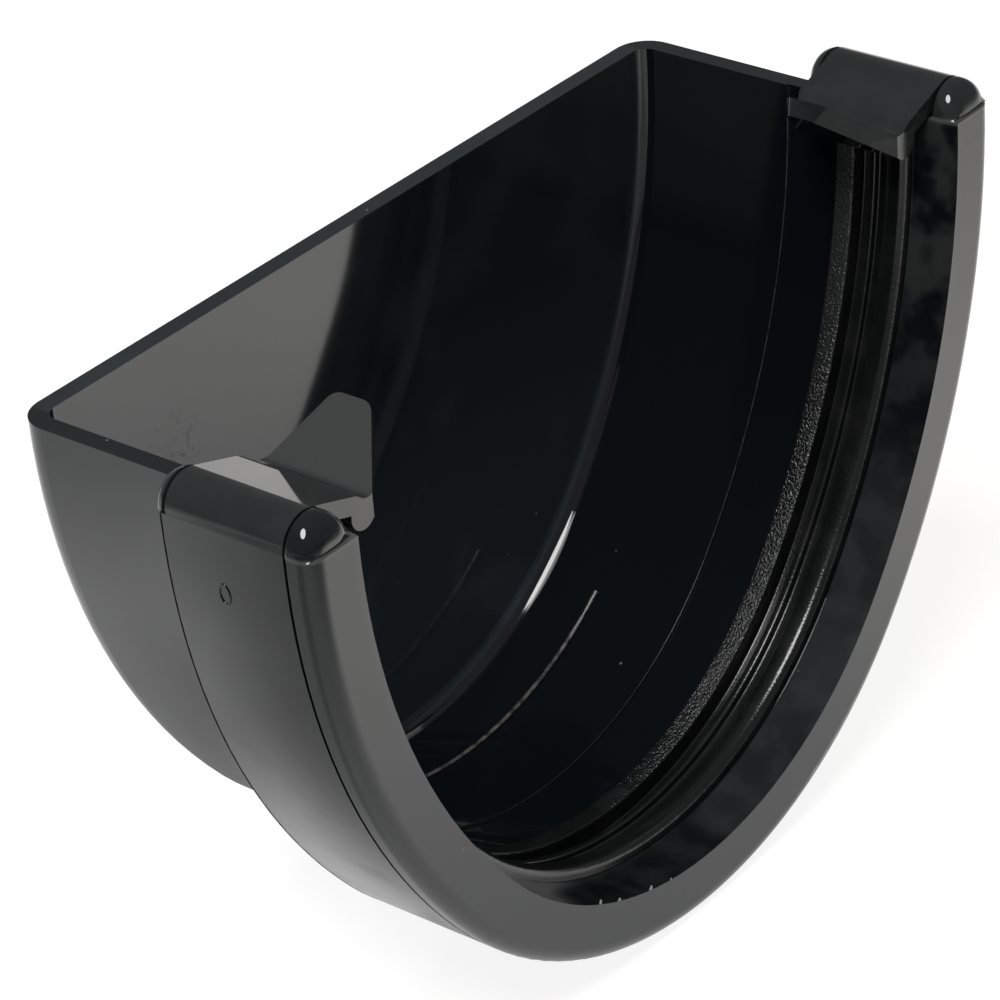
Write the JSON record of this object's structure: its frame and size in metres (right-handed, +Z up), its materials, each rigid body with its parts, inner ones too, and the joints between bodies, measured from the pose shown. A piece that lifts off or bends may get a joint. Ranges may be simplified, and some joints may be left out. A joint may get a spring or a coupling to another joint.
{
  "type": "gutter end cap",
  "caption": "External stop end for a deep round gutter: closed trough with a stepped socket, a rubber seal in its channel, and sprung clips with thumb tabs over both brims.",
  "frame": {"origin": "in the plane of the socket's mouth, on the middle line of the gutter, at brim height", "axes": "+X out of the socket along the gutter, +Y and -Y towards the two brims, +Z up"},
  "size_m": [0.052, 0.1354, 0.0924],
  "materials": {
    "black_plastic": "gloss moulded",
    "black_rubber": "satin, fine grain"
  },
  "bodies": {
    "root": {"stop_end_body": "black_plastic", "gutter_seal": "black_rubber"}
  },
  "joints": []
}
